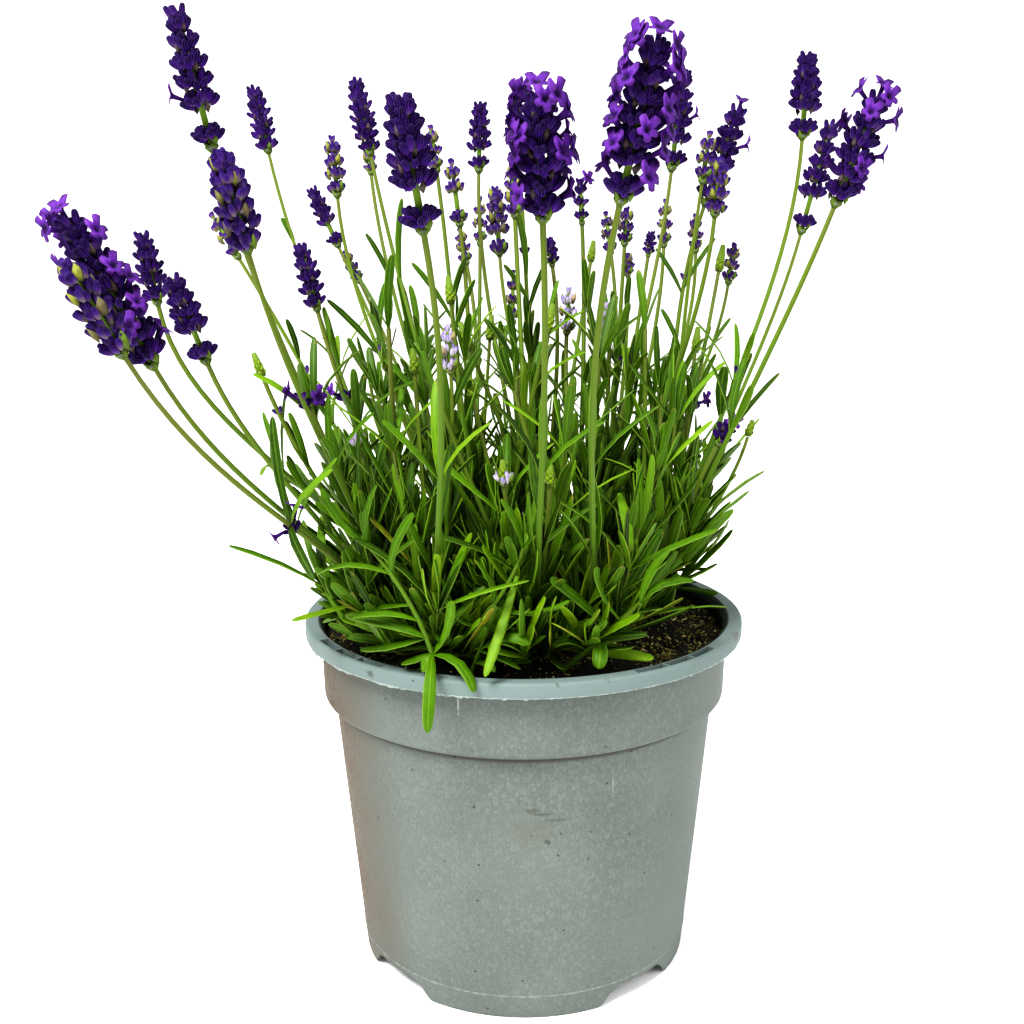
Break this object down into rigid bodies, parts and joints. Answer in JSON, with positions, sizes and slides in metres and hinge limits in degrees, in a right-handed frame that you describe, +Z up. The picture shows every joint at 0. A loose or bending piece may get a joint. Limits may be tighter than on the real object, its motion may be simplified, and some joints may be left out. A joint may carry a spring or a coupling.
{
  "type": "potted lavender",
  "caption": "Lavender in flower, with many leafy stems and long-stalked flower spikes, in a round grey-green plastic nursery pot filled with soil.",
  "frame": {"origin": "on the axis of the pot, at the bottom of its foot ring", "axes": "+Z up, the side that faces the viewer towards -Y, +X to the right as seen from the front"},
  "size_m": [0.2927, 0.3542, 0.3909],
  "materials": {
    "pot_plastic": "matte",
    "soil": "matte",
    "foliage": "satin",
    "violet_flowers": "matte",
    "pale_flowers": "matte"
  },
  "bodies": {
    "root": {"pot": "pot_plastic", "soil": "soil", "spike_front_left": "violet_flowers", "spike_low_left": "pale_flowers", "spike_front": "violet_flowers", "spike_mid_young": "violet_flowers", "spike_front_right": "violet_flowers", "spike_pale_tall": "pale_flowers", "spike_left_tall": "violet_flowers", "spike_left_olive": "violet_flowers", "spike_left_open": "violet_flowers", "spike_left_near": "violet_flowers", "spike_left_low": "violet_flowers", "spike_far_left": "violet_flowers", "spike_left_small": "violet_flowers", "spike_left_mid": "violet_flowers", "spike_left_back": "violet_flowers", "spike_mid_left_low": "violet_flowers", "spike_mid_left_tall": "violet_flowers", "spike_mid_left_olive": "violet_flowers", "spike_right_open": "violet_flowers", "spike_right_tall": "violet_flowers", "spike_right_low": "violet_flowers", "spike_right_back": "violet_flowers", "spike_right_dark": "violet_flowers", "spike_right_olive": "violet_flowers", "spike_left_thin": "violet_flowers", "spike_back_left": "violet_flowers", "spike_back_mid": "violet_flowers", "spike_back_leaning": "violet_flowers", "spike_mid_remote": "violet_flowers", "spike_mid_olive": "violet_flowers", "spike_back_brown": "violet_flowers", "spike_mid_small": "violet_flowers", "spike_mid_dark": "violet_flowers", "spike_mid_open": "violet_flowers", "spike_mid_violet": "violet_flowers", "spike_pale_low": "pale_flowers", "spike_mid_right_tall": "violet_flowers", "spike_mid_blue": "violet_flowers", "spike_back_right_a": "violet_flowers", "spike_back_right_b": "violet_flowers", "spike_back_right_c": "violet_flowers", "spike_back_right_d": "violet_flowers", "spike_back_right_e": "violet_flowers", "spike_back_right_f": "violet_flowers", "spike_mid_right_olive": "violet_flowers", "spike_mid_right": "violet_flowers", "clump_front_left": "foliage", "clump_front": "foliage", "clump_front_right": "foliage", "clump_left": "foliage", "clump_left_back": "foliage", "clump_centre": "foliage", "clump_right": "foliage", "clump_right_back": "foliage", "clump_back_left": "foliage", "clump_back": "foliage", "clump_centre_right": "foliage", "clump_back_right": "foliage"}
  },
  "joints": []
}
